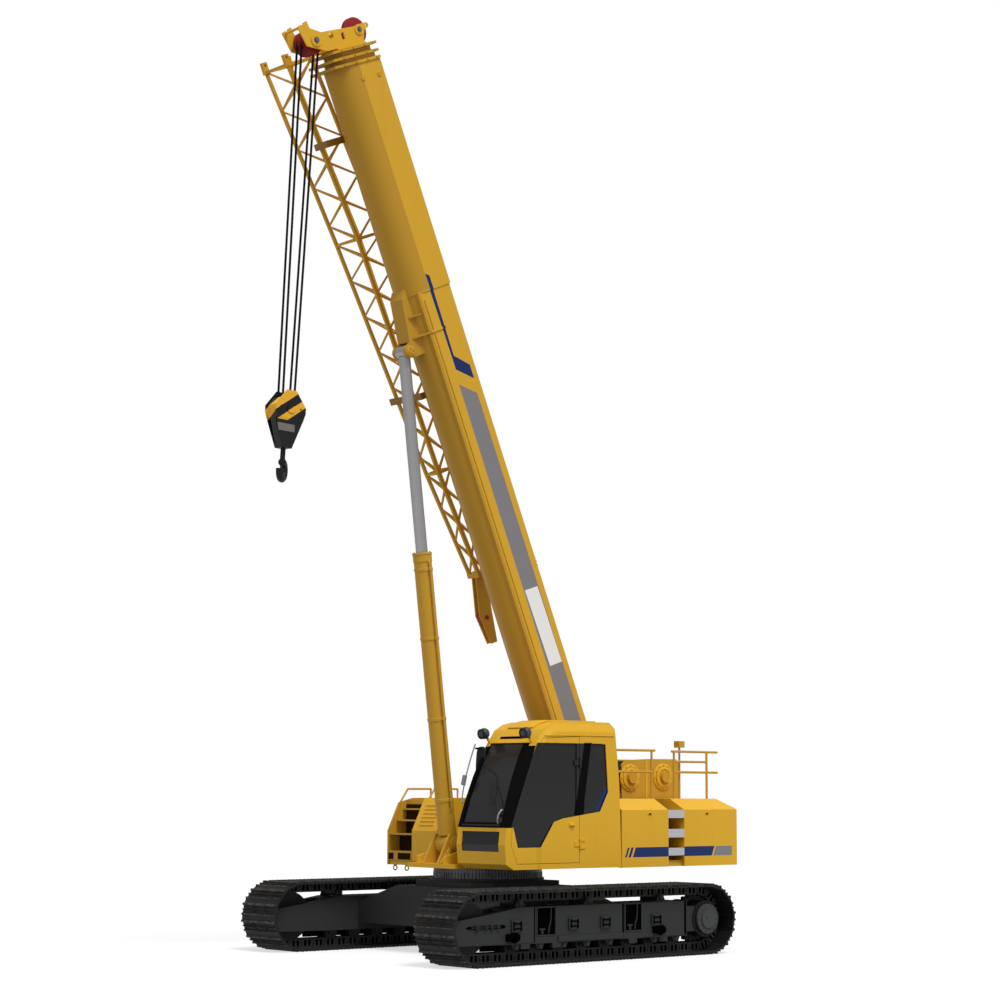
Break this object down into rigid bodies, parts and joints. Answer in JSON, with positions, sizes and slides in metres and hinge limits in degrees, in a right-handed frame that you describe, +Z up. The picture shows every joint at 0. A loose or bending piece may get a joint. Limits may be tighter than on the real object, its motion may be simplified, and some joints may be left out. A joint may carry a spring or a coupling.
{
  "type": "crawler crane",
  "caption": "Telescopic-boom crawler crane with a slewing deck, side cab, luffing cylinder, stowed lattice jib and a hook block on wire falls.",
  "frame": {"origin": "on the slewing axis at ground level, where the crawlers stand", "axes": "+X to the front of the crawlers and the way the boom points, +Y left (the cab's side), +Z up along the slewing axis"},
  "size_m": [6.7804, 4.38, 12.0779],
  "materials": {
    "crane_yellow": "gloss",
    "crawler_grey": "satin",
    "ring_steel": "satin",
    "chrome_rod": "gloss",
    "cab_glass": "gloss",
    "black_trim": "matte",
    "sheave_red": "satin",
    "wire_rope": "matte",
    "seat_cloth": "matte",
    "pin_steel": "satin",
    "lamp_grey": "gloss"
  },
  "bodies": {
    "carbody": {"carbody": "crawler_grey", "slewing_gear_ring": "ring_steel", "left_track": "crawler_grey", "right_track": "crawler_grey", "crawler_frames": "crawler_grey", "track_rollers": "crawler_grey", "idlers": "crawler_grey", "drive_sprockets": "crawler_grey", "final_drives": "crawler_grey"},
    "superstructure": {"slewing_inner_ring": "ring_steel", "deck_frame": "crane_yellow", "boom_foot_pin": "pin_steel", "cylinder_foot_bracket": "crane_yellow", "left_cabinets": "crane_yellow", "side_steps": "crane_yellow", "engine_hood": "crane_yellow", "engine_block": "crawler_grey", "counterweight": "crane_yellow", "winch_frame": "crane_yellow", "handrails": "crane_yellow", "work_lamps": "lamp_grey", "ladder_bay": "crane_yellow", "louvred_housing": "crane_yellow", "cab_shell": "crane_yellow", "cab_glass": "cab_glass", "operator_seat": "seat_cloth"},
    "cab_door": {"cab_door": "black_trim", "door_glass": "cab_glass"},
    "main_drum": {"main_winch_drum": "crawler_grey"},
    "auxiliary_drum": {"auxiliary_winch_drum": "crawler_grey"},
    "boom": {"boom_base_section": "crane_yellow", "cylinder_eye_pin": "pin_steel", "jib_lattice": "crane_yellow", "jib_brackets": "crane_yellow"},
    "boom_section_2": {"boom_section_2": "crane_yellow"},
    "boom_section_3": {"boom_section_3": "crane_yellow"},
    "boom_tip": {"boom_tip_section": "crane_yellow"},
    "head_sheaves": {"head_sheaves": "sheave_red"},
    "top_sheave": {"top_sheave": "sheave_red"},
    "jib_sheave": {"jib_sheave": "sheave_red"},
    "luffing_rod": {"luffing_rod": "chrome_rod"},
    "luffing_barrel": {"luffing_barrel": "crane_yellow"},
    "hook_block": {"hook_block": "black_trim", "hoist_ropes": "wire_rope"},
    "hook": {"hook": "black_trim"}
  },
  "joints": [
    {"name": "slew", "type": "hinge", "parent": "carbody", "child": "superstructure", "pos_m": [0, 0, 1.0405], "axis": [0, 0, 1], "continuous": true},
    {"name": "cab_door_hinge", "type": "hinge", "parent": "superstructure", "child": "cab_door", "pos_m": [-0.3, 1.473, 1.9], "axis": [0, 0, 1], "range_deg": [0, 150]},
    {"name": "main_winch", "type": "hinge", "parent": "superstructure", "child": "main_drum", "pos_m": [-2.167, 0, 2.269], "axis": [0, 1, 0], "continuous": true},
    {"name": "auxiliary_winch", "type": "hinge", "parent": "superstructure", "child": "auxiliary_drum", "pos_m": [-2.799, 0, 2.283], "axis": [0, 1, 0], "continuous": true},
    {"name": "boom_luff", "type": "hinge", "parent": "superstructure", "child": "boom", "pos_m": [-1.571, 0, 2.086], "axis": [0, -1, 0], "range_deg": [-66.75, 13.25]},
    {"name": "telescope_2", "type": "slide", "parent": "boom", "child": "boom_section_2", "axis": [0.3947, 0, 0.9188], "range_m": [0, 7.3]},
    {"name": "telescope_3", "type": "slide", "parent": "boom_section_2", "child": "boom_section_3", "axis": [0.3947, 0, 0.9188], "range_m": [0, 7.3]},
    {"name": "telescope_tip", "type": "slide", "parent": "boom_section_3", "child": "boom_tip", "axis": [0.3947, 0, 0.9188], "range_m": [0, 7.3]},
    {"name": "head_sheave_spin", "type": "hinge", "parent": "boom_tip", "child": "head_sheaves", "pos_m": [3.08514, 0, 11.60614], "axis": [0, 1, 0], "continuous": true},
    {"name": "top_sheave_spin", "type": "hinge", "parent": "boom_tip", "child": "top_sheave", "pos_m": [2.40313, 0.07, 11.89589], "axis": [0, 1, 0], "continuous": true},
    {"name": "jib_sheave_spin", "type": "hinge", "parent": "boom", "child": "jib_sheave", "pos_m": [-0.4436, -0.61, 4.43143], "axis": [0, 1, 0], "continuous": true},
    {"name": "hook_swing", "type": "hinge", "parent": "boom_tip", "child": "hook_block", "pos_m": [3.08514, 0, 11.60614], "axis": [0, -1, 0], "range_deg": [-12, 20]},
    {"name": "hook_swivel", "type": "hinge", "parent": "hook_block", "child": "hook", "pos_m": [3.38015, 0, 6.32938], "axis": [0.0558, 0, -0.9984], "continuous": true},
    {"name": "cylinder_rod_pivot", "type": "hinge", "parent": "boom", "child": "luffing_rod", "pos_m": [1.47412, 0, 7.78039], "axis": [0, -1, 0], "range_deg": [-14.38, 2.86]},
    {"name": "cylinder_stroke", "type": "slide", "parent": "luffing_rod", "child": "luffing_barrel", "axis": [0.1238, 0, 0.9923], "range_m": [-0.4451, 2.2383]}
  ],
  "couplings": [
    {"joint": "telescope_3", "follows": "telescope_2", "ratio": 1},
    {"joint": "telescope_tip", "follows": "telescope_2", "ratio": 1},
    {"joint": "cylinder_rod_pivot", "follows": "boom_luff", "ratio": 0.21523},
    {"joint": "cylinder_stroke", "follows": "boom_luff", "m_per_rad": -1.9204}
  ]
}
